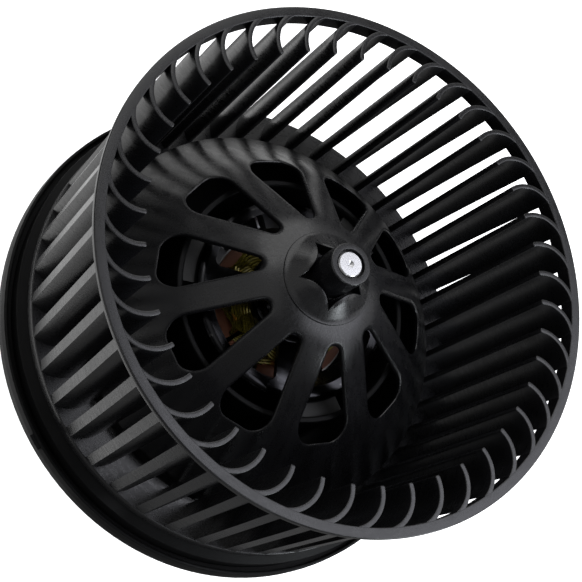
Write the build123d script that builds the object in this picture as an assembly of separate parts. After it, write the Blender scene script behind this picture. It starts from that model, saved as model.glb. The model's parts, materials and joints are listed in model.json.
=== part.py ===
from build123d import *
from math import acos, atan2, cos, degrees, radians, sin, tan
import os

# Blower motor wheel: a centrifugal cage wheel pressed on the shaft of a small brushed motor,
# which sits in the cup of a round black mounting flange.
# Millimetres. Z is the shaft axis and points out of the wheel's open inlet end.
# The origin is on the shaft axis, in the plane of the underside of the flange's rim.

# ---- Shared allowances ----
OVERCUT = 1.0
JOIN = 0.5

# ---- Wheel: overall ----
WHEEL_RADIUS = 80.0
WHEEL_TOP = 85.5
BACK_TOP = 17.5
BACK_THICKNESS = 2.0
BACK_RADIUS = 75.7
BACK_LIP_BOTTOM = 13.2
BACK_LIP_WIDTH = 1.6
FOOT_ROUNDING = 1.0
INNER_FOOT_ROUNDING = 0.5

# ---- Wheel: shroud ring at the inlet ----
RING_INNER = 76.8
RING_ROUNDING = 0.4
RING_EDGE = 1.6
RING_DEPTH = 5.35
RING_FOOT = 77.9

# ---- Wheel: blades ----
BLADE_COUNT = 44
BLADE_FIRST_AZIMUTH = 2.075
BLADE_TIP_RADIUS = 65.3
BLADE_THICKNESS = 1.5
BLADE_ARC = 10.4
BLADE_ARC_CENTRE = 67.5
BLADE_ARC_START = 8.0
BLADE_TOP_RADIUS = 77.2

# ---- Wheel: hub dome ----
CROWN_TOP = 66.4
DOME_WALL = 2.0
DOME_SLOPE = 50.0
DOME_CORNER = 27.1
DOME_ROUNDING = 32.4
DOME_FOOT = 63.0
DOME_SHOULDER = 2.5

# ---- Wheel: windows in the dome ----
WINDOW_COUNT = 10
WINDOW_AZIMUTH = 10.9
WINDOW_INNER = 20.0
WINDOW_OUTER = 45.8
WINDOW_APEX = 12.6
WINDOW_INNER_ROUNDING = 2.3
WINDOW_OUTER_ROUNDING = 5.0

# ---- Wheel: collar, star pocket and boss ----
COLLAR_RADIUS = 14.6
COLLAR_STEP = 0.25
COLLAR_TOP_RADIUS = 7.0
COLLAR_SLOPE = 40.0
STAR_POINTS = 5
STAR_AZIMUTH = 352.9
STAR_RADIUS = 11.5
STAR_LOBE_RADIUS = 13.5
STAR_LOBE_CENTRE = 20.7
BOSS_RADIUS = 6.6
BOSS_TOP = 81.5
BOSS_BOTTOM = 58.6
BOSS_CHAMFER = 0.5
BOSS_COUNTERBORE = 4.25
BOSS_COUNTERBORE_DEPTH = 1.2

# ---- Shaft ----
SHAFT_RADIUS = 4.0
SHAFT_TOP = 81.3
SHAFT_BOTTOM = -26.0
SHAFT_CHAMFER = 0.4
CENTRE_MARK_RADIUS = 1.1
CENTRE_MARK_DEPTH = 0.9

# ---- Flange and motor cup ----
FLANGE_RADIUS = 81.0
FLANGE_LAND = 3.0
FLANGE_RIM_TOP = 6.0
FLANGE_RIM_TOP_RADIUS = 80.7
FLANGE_RIM_ROUNDING = 0.5
FLANGE_EDGE_ROUNDING = 0.4
FLANGE_SHOULDER_ROUNDING = 3.0
FLANGE_GROOVE_OUTER = 79.6
FLANGE_GROOVE_FLOOR = 3.2
FLANGE_SHOULDER_RADIUS = 77.9
FLANGE_SHOULDER_TOP = 9.7
FLANGE_DISC_TOP = 11.8
FLANGE_DISC_EDGE = 74.0
FLANGE_THICKNESS = 2.5
FLANGE_RIM_INNER = 75.4
FLANGE_RIBS = 8
FLANGE_RIB_THICKNESS = 2.0
FLANGE_RIB_BOTTOM = 1.0
NUB_COUNT = 3
NUB_AZIMUTH = 86.8
NUB_RADIUS = 82.0
NUB_WIDTH = 5.0
NUB_BOTTOM = 3.3
NUB_TOP = 5.4
CUP_INNER = 37.5
CUP_OUTER = 39.5
CUP_LOWER_OUTER = 40.0
CUP_TOP = 45.5
CUP_BOTTOM = -31.0
CUP_EDGE_ROUNDING = 0.6
CUP_FILLET = 1.5
RECESS_FILLET = 1.0
EAR_AZIMUTHS = (60.0, 180.0, 300.0)
EAR_CENTRE = 43.0
EAR_RADIUS = 4.0
EAR_TOP = -17.0
EAR_BOTTOM = -29.0
PILOT_RADIUS = 1.3
PILOT_END = 2.0

# ---- End cap ----
CAP_BOTTOM = -33.0
CAP_SKIRT_TOP = -26.0
CAP_SCREW_HOLE = 1.8
CAP_COUNTERBORE = 3.2
CAP_SCREW_HEAD = 3.0
CAP_SCREW_HEAD_HEIGHT = 1.8
CAP_SCREW_DRIVE = (3.6, 0.9)
CAP_SCREW_DRIVE_DEPTH = 1.0
CAP_SCREW_TIP_GAP = 1.0
CAP_COUNTERBORE_DEPTH = 2.2
CAP_SCREW_RECESS = 0.3
CAP_SKIRT_WALL = 2.1
CAP_SKIRT_CLEARANCE = 0.2
CAP_SLOTS = 6
CAP_SLOT_START = 19.0
CAP_SLOT_END = 31.0
CAP_SLOT_WIDTH = 3.0
CAP_SOCKET_INNER = 13.2
CAP_SOCKET_OUTER = 15.2
CAP_SOCKET_TOP = -22.0

# ---- Motor case ----
CASE_RADIUS = 33.0
CASE_WALL = 1.8
CASE_TOP = 46.0
CASE_BOTTOM = -14.0
HUB_RADIUS = 13.5
HUB_TOP = 51.5
NOSE_RADIUS = 9.8
NOSE_INNER = 8.0
NOSE_TOP = 57.3
NOSE_HOLE = 5.5
VENT_INNER = 15.6
VENT_OUTER = 28.5
VENT_WEB = 7.0
VENT_WEB_AZIMUTH = 47.0
VENT_ROUNDING = 2.0
CASE_ROUNDING = 2.6
HUB_ROUNDING = 1.5
NOSE_ROUNDING = 1.2
BRACKET_SKIRT_OUTER = 34.6
BRACKET_SKIRT_TOP = -7.0
LOWER_NOSE_RADIUS = 9.6
LOWER_NOSE_BOTTOM = -28.5
LEAD_HOLE_RADIUS = 2.5
BRACKET_SCREW_AZIMUTHS = (90.0, 210.0, 330.0)
BRACKET_SCREW_HEIGHT = -10.0
BRACKET_SCREW_RADIUS = 1.45
BRACKET_SCREW_LENGTH = 5.2
BRACKET_SCREW_HEAD = 2.6
BRACKET_SCREW_HEAD_HEIGHT = 1.6
BRACKET_SCREW_SLOT = (3.6, 0.8)
BRACKET_SCREW_SLOT_DEPTH = 0.7
CASE_THREAD_GAP = 0.05
BRACKET_HOLE_GAP = 0.15
BRACKET_ROUNDING = 1.5
LOWER_NOSE_ROUNDING = 1.0
LOWER_NOSE_FLOOR = 1.5
BRACKET_VENT_RADIUS = 3.5
BRACKET_VENT_CENTRE = 22.0
BRACKET_VENT_AZIMUTHS = (90.0, 150.0, 210.0, 270.0)

# ---- Magnets and armature ----
MAGNET_INNER = 25.2
MAGNET_OUTER = 31.1
MAGNET_SPAN = 140.0
MAGNET_BOTTOM = 6.0
MAGNET_TOP = 40.0
CLIP_INNER = 26.2
CLIP_OUTER = 31.0
CLIP_THICKNESS = 0.8
CLIP_SPAN = 36.0
CLIP_LEG_ANGLE = 1.7
CLIP_INSET = 2.0
CORE_RADIUS = 24.5
CORE_BOTTOM = 10.0
CORE_TOP = 36.0
SLOT_COUNT = 12
SLOT_INNER = 12.0
SLOT_OUTER = 21.5
SLOT_WIDTH = 4.4
SLOT_MOUTH = 1.6
SLOT_ROUNDING = 1.2
INSULATOR_RADIUS = 23.9
INSULATOR_THICKNESS = 0.8
WINDING_GAP = 0.2
WINDING_ROUNDING = 2.4
WINDING_INNER = 8.5
WINDING_OUTER = 23.5
WINDING_TOP = 42.2
WINDING_BOTTOM = 3.2

# ---- Commutator and brush gear ----
COMMUTATOR_RADIUS = 10.0
COMMUTATOR_HUB = 7.5
COMMUTATOR_BOTTOM = -12.0
COMMUTATOR_TOP = 1.0
COMMUTATOR_GAP = 3.0
RISER_RADIUS = 11.5
RISER_TOP = 2.5
BRUSH_WIDTH = 6.0
BRUSH_HEIGHT = 9.0
BRUSH_LENGTH = 10.0
BRUSH_GAP = 0.2
BRUSH_Z = -6.85
BRUSH_HOLLOW = 1.0
GUIDE_CLEARANCE = 0.15
GUIDE_WALL = 0.5
GUIDE_START = 12.0
GUIDE_END = 29.0
GUIDE_SLOT_WIDTH = 2.2
GUIDE_SLOT_END = 25.0
CARD_RADIUS = 30.8
CARD_BOTTOM = -14.0
CARD_TOP = -12.0
CARD_HOLE = 12.0
SPRING_RADIUS = 2.4
SPRING_WIRE = 0.35
SPRING_TURNS = 5
SPRING_GAP = 0.1
PIGTAIL_RADIUS = 0.7
PIGTAIL_BEND = 2.0
PIGTAIL_X = 17.0
PIGTAIL_GAP = 0.05
PIGTAIL_CROSSING = 0.2
LEAD_BEND = 2.0
LEAD_SLOPE_START = 5.0
LEAD_SLOPE_X = 31.0
LEAD_RADIUS = 1.1
CHOKE_Y = 13.0
CHOKE_START = 6.0
CHOKE_LENGTH = 14.0
CHOKE_RADIUS = 2.2
CHOKE_COIL_RADIUS = 3.1
CHOKE_COIL_INSET = 1.5
CAPACITOR_RADIUS = 4.5
CAPACITOR_THICKNESS = 2.6
CAPACITOR_ROUNDING = 0.8
CAPACITOR_Y = 22.0
LEAD_X = 23.5

# ---- Bearings ----
BEARING_CLEARANCE = 0.02
BEARING_SPHERE = 7.6
BEARING_HALF = 3.0
UPPER_BEARING_Z = 51.1
LOWER_BEARING_Z = -21.5
BEARING_GAP = 0.1
SPACER_RADIUS = 6.0
WASHER_RADIUS = 6.4
UPPER_WASHER_HEIGHT = 1.1
LOWER_WASHER_HEIGHT = 1.6
STACK_GAP = 0.2
SLEEVE_GAP = 0.05
FELT_CLEARANCE = 0.4
FELT_HEIGHT = 1.4
RETAINER_INSET = 0.3
RETAINER_HEIGHT = 0.8

# ---- Isolators ----
ISOLATOR_COUNT = 3
ISOLATOR_AZIMUTH = 40.0
ISOLATOR_SPAN = 24.0
ISOLATOR_BOTTOM = 20.0
ISOLATOR_TOP = 43.0

# ---- Power connector ----
PAD_START = 33.5
PAD_FACE = 41.0
PAD_WIDTH = 26.0
PAD_HEIGHT = 20.0
TERMINAL_HOLE_WIDTH = 16.0
TERMINAL_HOLE_HEIGHT = 8.0
CONNECTOR_Z = -19.0
CONNECTOR_PLATE = 2.0
CONNECTOR_FLANGE_WIDTH = 24.0
CONNECTOR_FLANGE_HEIGHT = 17.0
SHROUD_WIDTH = 20.0
SHROUD_HEIGHT = 13.0
SHROUD_WALL = 1.6
SHROUD_LENGTH = 15.0
SHROUD_ROUNDING = 1.5
LATCH_START = 4.0
LATCH_LENGTH = 4.0
LATCH_WIDTH = 6.0
LATCH_HEIGHT = 1.4
BLADE_TAB_WIDTH = 6.3
BLADE_TAB_THICKNESS = 0.8
BLADE_TAB_PITCH = 9.0
BLADE_TAB_CLEARANCE = 0.05
BLADE_TAB_TAIL = 4.0
BLADE_TAB_SETBACK = 3.0


# ---- Shared helpers ----
def turned(*corners):
    """Solid of revolution about Z from (radius, height) or (radius, height, rounding) corners."""
    outline = [(corner[0], corner[1]) for corner in corners]
    rounding = [corner[2] if len(corner) > 2 else 0 for corner in corners]
    section = make_face(FilletPolyline(*outline, radius=rounding, close=True))
    return revolve(Plane.XZ * section, Axis.Z)


def tube(inner, outer, low, high):
    """Upright ring between two radii and two heights."""
    return Pos(0, 0, low) * extrude(Circle(outer) - Circle(inner), high - low)


def disc(radius, low, high):
    """Upright cylinder between two heights."""
    return Pos(0, 0, low) * extrude(Circle(radius), high - low)


def sector(inner, outer, start, sweep_angle, low, high):
    """Upright arc-shaped block between two radii, starting at an azimuth in degrees."""
    far = CenterArc((0, 0), outer, start, sweep_angle)
    near = CenterArc((0, 0), inner, start, sweep_angle)
    face = make_face([far, Line(far @ 1, near @ 1), near, Line(near @ 0, far @ 0)])
    return Pos(0, 0, low) * extrude(face, high - low)


def block(x_low, x_high, width, z_low, z_high, y=0.0):
    """Box given by its X and Z limits and its width, centred on y."""
    centre = Pos((x_low + x_high) / 2, y, (z_low + z_high) / 2)
    return centre * Box(x_high - x_low, width, z_high - z_low)


def around(shape, count, start=0.0):
    """Copies of a shape, evenly spaced round Z, the first one at an azimuth in degrees."""
    return [Rot(0, 0, start + 360 * i / count) * shape for i in range(count)]


def at_azimuths(shape, azimuths):
    """Copies of a shape at the given azimuths round Z."""
    return [Rot(0, 0, azimuth) * shape for azimuth in azimuths]


def wire_run(points, bend, radius):
    """Round wire along straight runs joined by arcs of one bend radius."""
    path = FilletPolyline(*points, radius=[bend] * (len(points) - 2))
    return sweep(Plane(origin=path @ 0, z_dir=path % 0) * Circle(radius), path=path)


# ---- Wheel ----
def hub_shell():
    """Dome, back plate and the plate's outer lip, as one turned shell with ten windows."""
    fall = tan(radians(DOME_SLOPE))
    foot_height = CROWN_TOP - (DOME_FOOT - DOME_CORNER) * fall
    inner_foot = DOME_FOOT - DOME_WALL
    inner_corner = DOME_CORNER - DOME_WALL * tan(radians(DOME_SLOPE / 2))
    crown_under = CROWN_TOP - DOME_WALL
    back_bottom = BACK_TOP - BACK_THICKNESS
    shell = turned(
        (0, CROWN_TOP),
        (DOME_CORNER, CROWN_TOP, DOME_ROUNDING),
        (DOME_FOOT, foot_height, DOME_SHOULDER),
        (DOME_FOOT, BACK_TOP, FOOT_ROUNDING),
        (BACK_RADIUS, BACK_TOP),
        (BACK_RADIUS, BACK_LIP_BOTTOM),
        (BACK_RADIUS - BACK_LIP_WIDTH, BACK_LIP_BOTTOM),
        (BACK_RADIUS - BACK_LIP_WIDTH, back_bottom),
        (inner_foot, back_bottom),
        (inner_foot, crown_under - (inner_foot - inner_corner) * fall, INNER_FOOT_ROUNDING),
        (inner_corner, crown_under, DOME_ROUNDING - DOME_WALL),
        (0, crown_under),
    )
    return shell - around(window_cut(), WINDOW_COUNT, WINDOW_AZIMUTH)


def window_cut():
    """Cutter for one window, whose sides run parallel to the spokes beside it."""
    half_angle = 180 / WINDOW_COUNT
    near = (WINDOW_INNER - WINDOW_APEX) * tan(radians(half_angle))
    far = (WINDOW_OUTER - WINDOW_APEX) * tan(radians(half_angle))
    corners = [(WINDOW_INNER, -near), (WINDOW_OUTER, -far), (WINDOW_OUTER, far), (WINDOW_INNER, near)]
    rounding = [WINDOW_INNER_ROUNDING, WINDOW_OUTER_ROUNDING, WINDOW_OUTER_ROUNDING, WINDOW_INNER_ROUNDING]
    face = make_face(FilletPolyline(*corners, radius=rounding, close=True))
    bottom = CROWN_TOP / 2
    return Pos(0, 0, bottom) * extrude(face, CROWN_TOP + OVERCUT - bottom)


def shroud_ring():
    """Ring that ties the blade tops together, with a tapered underside."""
    return turned(
        (RING_INNER, WHEEL_TOP),
        (WHEEL_RADIUS, WHEEL_TOP, RING_ROUNDING),
        (WHEEL_RADIUS, WHEEL_TOP - RING_EDGE, RING_ROUNDING),
        (RING_FOOT, WHEEL_TOP - RING_DEPTH),
        (RING_INNER, WHEEL_TOP - RING_DEPTH),
    )


def blade():
    """One blade: a curved plate with a round inner edge, its outer edge cut to the cage's taper."""
    tip_centre_radius = BLADE_TIP_RADIUS + BLADE_THICKNESS / 2
    reach = tip_centre_radius**2 - BLADE_ARC_CENTRE**2 - BLADE_ARC**2
    tip_angle = degrees(acos(reach / (2 * BLADE_ARC_CENTRE * BLADE_ARC)))
    centre = Vector(BLADE_ARC_CENTRE, 0)
    tip = centre + Vector(cos(radians(tip_angle)), sin(radians(tip_angle))) * BLADE_ARC
    length = tip_angle - BLADE_ARC_START
    outside = CenterArc(centre, BLADE_ARC + BLADE_THICKNESS / 2, BLADE_ARC_START, length)
    inside = CenterArc(centre, BLADE_ARC - BLADE_THICKNESS / 2, BLADE_ARC_START, length)
    nose = CenterArc(tip, BLADE_THICKNESS / 2, tip_angle, 180)
    face = make_face([outside, nose, inside, Line(inside @ 0, outside @ 0)])
    root = BACK_TOP - BACK_THICKNESS / 2
    plate = Pos(0, 0, root) * extrude(face, WHEEL_TOP - root)
    envelope = turned(
        (0, root),
        (BACK_RADIUS, root),
        (BACK_RADIUS, BACK_TOP),
        (BLADE_TOP_RADIUS, WHEEL_TOP - RING_DEPTH),
        (BLADE_TOP_RADIUS, WHEEL_TOP),
        (0, WHEEL_TOP),
    )
    tip_azimuth = degrees(atan2(tip.Y, tip.X))
    return Rot(0, 0, -tip_azimuth) * (plate & envelope)


def collar():
    """Raised cone round the boss with a star-shaped pocket in it."""
    base = CROWN_TOP - DOME_WALL / 2
    shoulder = CROWN_TOP + COLLAR_STEP
    top = shoulder + (COLLAR_RADIUS - COLLAR_TOP_RADIUS) * tan(radians(COLLAR_SLOPE))
    cone = turned(
        (0, base),
        (COLLAR_RADIUS, base),
        (COLLAR_RADIUS, shoulder),
        (COLLAR_TOP_RADIUS, top),
        (0, top),
    )
    star = Circle(STAR_RADIUS)
    lobe = Pos(STAR_LOBE_CENTRE, 0) * Circle(STAR_LOBE_RADIUS)
    for copy in around(lobe, STAR_POINTS, STAR_AZIMUTH + 180 / STAR_POINTS):
        star -= copy
    return cone - Pos(0, 0, CROWN_TOP) * extrude(star, top - CROWN_TOP)


def blower_wheel():
    blades = around(blade(), BLADE_COUNT, BLADE_FIRST_AZIMUTH)
    boss = disc(BOSS_RADIUS, BOSS_BOTTOM, BOSS_TOP)
    boss = chamfer(boss.edges().group_by(Axis.Z)[-1], BOSS_CHAMFER)
    wheel = hub_shell() + collar() + boss + shroud_ring() + blades
    counterbore = disc(BOSS_COUNTERBORE, BOSS_TOP - BOSS_COUNTERBORE_DEPTH, BOSS_TOP)
    return wheel - disc(SHAFT_RADIUS, BOSS_BOTTOM, BOSS_TOP) - counterbore


# ---- Shaft and armature ----
def motor_shaft():
    shaft = disc(SHAFT_RADIUS, SHAFT_BOTTOM, SHAFT_TOP)
    shaft = chamfer(shaft.edges().filter_by(GeomType.CIRCLE), SHAFT_CHAMFER)
    mark = turned(
        (0, SHAFT_TOP - CENTRE_MARK_DEPTH),
        (CENTRE_MARK_RADIUS, SHAFT_TOP),
        (0, SHAFT_TOP),
    )
    return shaft - mark


def slots(low, high):
    """Cutters for the winding slots, each with a narrow mouth at the core's surface."""
    pocket = block(SLOT_INNER, SLOT_OUTER, SLOT_WIDTH, low, high)
    pocket = fillet(pocket.edges().filter_by(Axis.Z), SLOT_ROUNDING)
    mouth = block(SLOT_OUTER - JOIN, CORE_RADIUS + OVERCUT, SLOT_MOUTH, low, high)
    return around(pocket + mouth, SLOT_COUNT)


def lamination(radius, low, high):
    return tube(SHAFT_RADIUS, radius, low, high) - slots(low, high)


def armature_core():
    return lamination(CORE_RADIUS, CORE_BOTTOM, CORE_TOP)


def armature_insulators():
    upper = lamination(INSULATOR_RADIUS, CORE_TOP, CORE_TOP + INSULATOR_THICKNESS)
    lower = lamination(INSULATOR_RADIUS, CORE_BOTTOM - INSULATOR_THICKNESS, CORE_BOTTOM)
    return Compound(children=[upper, lower])


def armature_windings():
    """Wire bundles in the slots, and the rings of end turns above and below the core."""
    over = CORE_TOP + INSULATOR_THICKNESS
    under = CORE_BOTTOM - INSULATOR_THICKNESS
    ends_above = turned(
        (WINDING_INNER, over),
        (WINDING_OUTER, over),
        (WINDING_OUTER, WINDING_TOP, WINDING_ROUNDING),
        (WINDING_INNER, WINDING_TOP, WINDING_ROUNDING),
    )
    ends_below = turned(
        (WINDING_INNER, under),
        (WINDING_INNER, WINDING_BOTTOM, WINDING_ROUNDING),
        (WINDING_OUTER, WINDING_BOTTOM, WINDING_ROUNDING),
        (WINDING_OUTER, under),
    )
    width = SLOT_WIDTH - 2 * WINDING_GAP
    start, end = SLOT_INNER + WINDING_GAP, SLOT_OUTER - WINDING_GAP
    bundle = block(start, end, width, under - JOIN, over + JOIN)
    bundle = fillet(bundle.edges().filter_by(Axis.Z), SLOT_ROUNDING)
    return ends_above + ends_below + around(bundle, SLOT_COUNT)


def commutator_hub():
    """Moulded core of the commutator, with a sleeve down to the lower bearing's washer."""
    sleeve_bottom = LOWER_BEARING_Z + BEARING_HALF + BEARING_GAP + LOWER_WASHER_HEIGHT + STACK_GAP
    body = tube(SHAFT_RADIUS, COMMUTATOR_HUB, COMMUTATOR_BOTTOM, COMMUTATOR_TOP)
    return body + tube(SHAFT_RADIUS, SPACER_RADIUS, sleeve_bottom, COMMUTATOR_BOTTOM)


def commutator_bars():
    """Copper bars with a riser at the top, where the windings are welded on."""
    angle = 360 / SLOT_COUNT - COMMUTATOR_GAP
    bar = sector(COMMUTATOR_HUB, COMMUTATOR_RADIUS, 0, angle, COMMUTATOR_BOTTOM, COMMUTATOR_TOP)
    riser = sector(COMMUTATOR_HUB, RISER_RADIUS, 0, angle, COMMUTATOR_TOP, RISER_TOP)
    return Compound(children=around(bar + riser, SLOT_COUNT))


def upper_spacer():
    low = CORE_TOP + INSULATOR_THICKNESS
    high = UPPER_BEARING_Z - BEARING_HALF - BEARING_GAP - UPPER_WASHER_HEIGHT - BEARING_GAP
    return tube(SHAFT_RADIUS + SLEEVE_GAP, SPACER_RADIUS, low, high)


def upper_thrust_washer():
    high = UPPER_BEARING_Z - BEARING_HALF - BEARING_GAP
    return tube(SHAFT_RADIUS + SLEEVE_GAP, WASHER_RADIUS, high - UPPER_WASHER_HEIGHT, high)


def lower_thrust_washer():
    low = LOWER_BEARING_Z + BEARING_HALF + BEARING_GAP
    return tube(SHAFT_RADIUS + SLEEVE_GAP, WASHER_RADIUS, low, low + LOWER_WASHER_HEIGHT)


# ---- Flange, cup and end cap ----
def motor_housing():
    """Round mounting flange and the cup that holds the motor, moulded in one."""
    under = FLANGE_DISC_TOP - FLANGE_THICKNESS
    body = turned(
        (FLANGE_RADIUS, 0),
        (FLANGE_RADIUS, FLANGE_LAND),
        (FLANGE_RIM_TOP_RADIUS, FLANGE_RIM_TOP, FLANGE_RIM_ROUNDING),
        (FLANGE_GROOVE_OUTER, FLANGE_RIM_TOP, FLANGE_EDGE_ROUNDING),
        (FLANGE_GROOVE_OUTER, FLANGE_GROOVE_FLOOR),
        (FLANGE_SHOULDER_RADIUS, FLANGE_GROOVE_FLOOR),
        (FLANGE_SHOULDER_RADIUS, FLANGE_SHOULDER_TOP, FLANGE_EDGE_ROUNDING),
        (FLANGE_DISC_EDGE, FLANGE_DISC_TOP, FLANGE_SHOULDER_ROUNDING),
        (CUP_OUTER, FLANGE_DISC_TOP, CUP_FILLET),
        (CUP_OUTER, CUP_TOP, CUP_EDGE_ROUNDING),
        (CUP_INNER, CUP_TOP, CUP_EDGE_ROUNDING),
        (CUP_INNER, CUP_BOTTOM),
        (CUP_LOWER_OUTER, CUP_BOTTOM),
        (CUP_LOWER_OUTER, under, CUP_FILLET),
        (FLANGE_RIM_INNER, under, RECESS_FILLET),
        (FLANGE_RIM_INNER, 0),
    )
    start, end = CUP_LOWER_OUTER - JOIN, FLANGE_RIM_INNER + JOIN
    rib = block(start, end, FLANGE_RIB_THICKNESS, FLANGE_RIB_BOTTOM, under + JOIN)
    nub = block(FLANGE_RIM_TOP_RADIUS - JOIN, NUB_RADIUS, NUB_WIDTH, NUB_BOTTOM, NUB_TOP)
    ear = Pos(EAR_CENTRE, 0) * disc(EAR_RADIUS, EAR_BOTTOM, EAR_TOP)
    ear += block(CUP_LOWER_OUTER - OVERCUT, EAR_CENTRE, 2 * EAR_RADIUS, EAR_BOTTOM, EAR_TOP)
    low, high = CONNECTOR_Z - PAD_HEIGHT / 2, CONNECTOR_Z + PAD_HEIGHT / 2
    pad = block(PAD_START, PAD_FACE, PAD_WIDTH, low, high) - disc(CUP_INNER, low, high)
    body += around(rib, FLANGE_RIBS, 180 / FLANGE_RIBS)
    body += around(nub, NUB_COUNT, NUB_AZIMUTH)
    body += at_azimuths(ear, EAR_AZIMUTHS)
    body += pad
    pilot = Pos(EAR_CENTRE, 0) * disc(PILOT_RADIUS, EAR_BOTTOM, EAR_TOP - PILOT_END)
    body -= at_azimuths(pilot, EAR_AZIMUTHS)
    half = TERMINAL_HOLE_HEIGHT / 2
    hole = block(PAD_START, PAD_FACE, TERMINAL_HOLE_WIDTH, CONNECTOR_Z - half, CONNECTOR_Z + half)
    return body - hole


def end_cap():
    """Cover that closes the cup, with a socket for the motor's lower isolator and air slots."""
    skirt = CUP_INNER - CAP_SKIRT_CLEARANCE
    cap = disc(CUP_LOWER_OUTER, CAP_BOTTOM, CUP_BOTTOM)
    cap += tube(skirt - CAP_SKIRT_WALL, skirt, CUP_BOTTOM, CAP_SKIRT_TOP)
    cap += tube(CAP_SOCKET_INNER, CAP_SOCKET_OUTER, CUP_BOTTOM, CAP_SOCKET_TOP)
    ear = Pos(EAR_CENTRE, 0) * disc(EAR_RADIUS, CAP_BOTTOM, EAR_BOTTOM)
    ear += block(CUP_LOWER_OUTER - OVERCUT, EAR_CENTRE, 2 * EAR_RADIUS, CAP_BOTTOM, EAR_BOTTOM)
    ear -= disc(CUP_LOWER_OUTER + BEARING_GAP, CUP_BOTTOM, EAR_BOTTOM)
    cap += at_azimuths(ear, EAR_AZIMUTHS)
    hole = disc(CAP_SCREW_HOLE, CAP_BOTTOM, EAR_BOTTOM)
    hole += disc(CAP_COUNTERBORE, CAP_BOTTOM, CAP_BOTTOM + CAP_COUNTERBORE_DEPTH)
    cap -= at_azimuths(Pos(EAR_CENTRE, 0) * hole, EAR_AZIMUTHS)
    slot = block(CAP_SLOT_START, CAP_SLOT_END, CAP_SLOT_WIDTH, CAP_BOTTOM, CUP_BOTTOM)
    slot = fillet(slot.edges().filter_by(Axis.Z), 0.48 * CAP_SLOT_WIDTH)
    return cap - around(slot, CAP_SLOTS, 180 / CAP_SLOTS)


def end_cap_screws():
    head_bottom = CAP_BOTTOM + CAP_SCREW_RECESS
    head_top = head_bottom + CAP_SCREW_HEAD_HEIGHT
    length, width = CAP_SCREW_DRIVE
    cross = Rectangle(length, width) + Rectangle(width, length)
    drive = Pos(0, 0, head_bottom) * extrude(cross, CAP_SCREW_DRIVE_DEPTH)
    screw = disc(CAP_SCREW_HEAD, head_bottom, head_top) - drive
    screw += disc(PILOT_RADIUS, head_top, EAR_TOP - PILOT_END - CAP_SCREW_TIP_GAP)
    return Compound(children=at_azimuths(Pos(EAR_CENTRE, 0) * screw, EAR_AZIMUTHS))


# ---- Motor case, magnets and bearings ----
def motor_case():
    """Drawn steel can with a raised hub, a bearing nose and four kidney-shaped vents on top."""
    inner = CASE_RADIUS - CASE_WALL
    can = turned(
        (CASE_RADIUS, CASE_BOTTOM),
        (CASE_RADIUS, CASE_TOP, CASE_ROUNDING),
        (HUB_RADIUS, CASE_TOP, HUB_ROUNDING),
        (HUB_RADIUS, HUB_TOP, HUB_ROUNDING),
        (NOSE_RADIUS, HUB_TOP, NOSE_ROUNDING),
        (NOSE_RADIUS, NOSE_TOP, NOSE_ROUNDING),
        (NOSE_HOLE, NOSE_TOP),
        (NOSE_HOLE, NOSE_TOP - CASE_WALL),
        (NOSE_INNER, NOSE_TOP - CASE_WALL),
        (NOSE_INNER, HUB_TOP - CASE_WALL),
        (HUB_RADIUS - CASE_WALL, HUB_TOP - CASE_WALL),
        (HUB_RADIUS - CASE_WALL, CASE_TOP - CASE_WALL),
        (inner, CASE_TOP - CASE_WALL, CASE_ROUNDING - CASE_WALL),
        (inner, CASE_BOTTOM),
    )
    vents = Circle(VENT_OUTER) - Circle(VENT_INNER)
    for turn in (VENT_WEB_AZIMUTH, VENT_WEB_AZIMUTH + 90):
        vents -= Rot(0, 0, turn) * Rectangle(2 * CASE_RADIUS, VENT_WEB)
    vents = fillet(vents.vertices(), VENT_ROUNDING)
    can -= Pos(0, 0, CASE_TOP - 2 * CASE_WALL) * extrude(vents, 3 * CASE_WALL)
    return can - bracket_screw_holes(BRACKET_SCREW_RADIUS + CASE_THREAD_GAP)


def field_magnets():
    start = 90 - MAGNET_SPAN / 2
    magnet = sector(MAGNET_INNER, MAGNET_OUTER, start, MAGNET_SPAN, MAGNET_BOTTOM, MAGNET_TOP)
    return Compound(children=around(magnet, 2))


def magnet_springs():
    """Channel-shaped spring clips that wedge the magnets apart inside the case."""
    low, high = MAGNET_BOTTOM + CLIP_INSET, MAGNET_TOP - CLIP_INSET
    back = sector(CLIP_OUTER - CLIP_THICKNESS, CLIP_OUTER, -CLIP_SPAN / 2, CLIP_SPAN, low, high)
    leg = sector(CLIP_INNER, CLIP_OUTER - JOIN, -CLIP_SPAN / 2, CLIP_LEG_ANGLE, low, high)
    clip = back + leg + Rot(0, 0, CLIP_SPAN - CLIP_LEG_ANGLE) * leg
    return Compound(children=around(clip, 2))


def bearing(height):
    """Self-aligning sintered bearing: a ball with flat ends and a running bore."""
    ball = Pos(0, 0, height) * Sphere(BEARING_SPHERE)
    ball &= disc(BEARING_SPHERE, height - BEARING_HALF, height + BEARING_HALF)
    bore = SHAFT_RADIUS + BEARING_CLEARANCE
    return ball - disc(bore, height - BEARING_HALF, height + BEARING_HALF)


def upper_bearing():
    return bearing(UPPER_BEARING_Z)


def lower_bearing():
    return bearing(LOWER_BEARING_Z)


def upper_felt_washer():
    low = UPPER_BEARING_Z + BEARING_HALF + BEARING_GAP
    high = NOSE_TOP - CASE_WALL - BEARING_GAP
    return tube(SHAFT_RADIUS + FELT_CLEARANCE, NOSE_INNER - BEARING_GAP, low, high)


def lower_felt_washer():
    high = LOWER_BEARING_Z - BEARING_HALF - STACK_GAP
    return tube(SHAFT_RADIUS + FELT_CLEARANCE, NOSE_INNER - BEARING_GAP, high - FELT_HEIGHT, high)


def upper_bearing_retainer():
    high = UPPER_BEARING_Z - BEARING_HALF - BEARING_GAP
    outer = HUB_RADIUS - CASE_WALL - BEARING_GAP
    return tube(WASHER_RADIUS + RETAINER_INSET, outer, high - RETAINER_HEIGHT, high)


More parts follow.
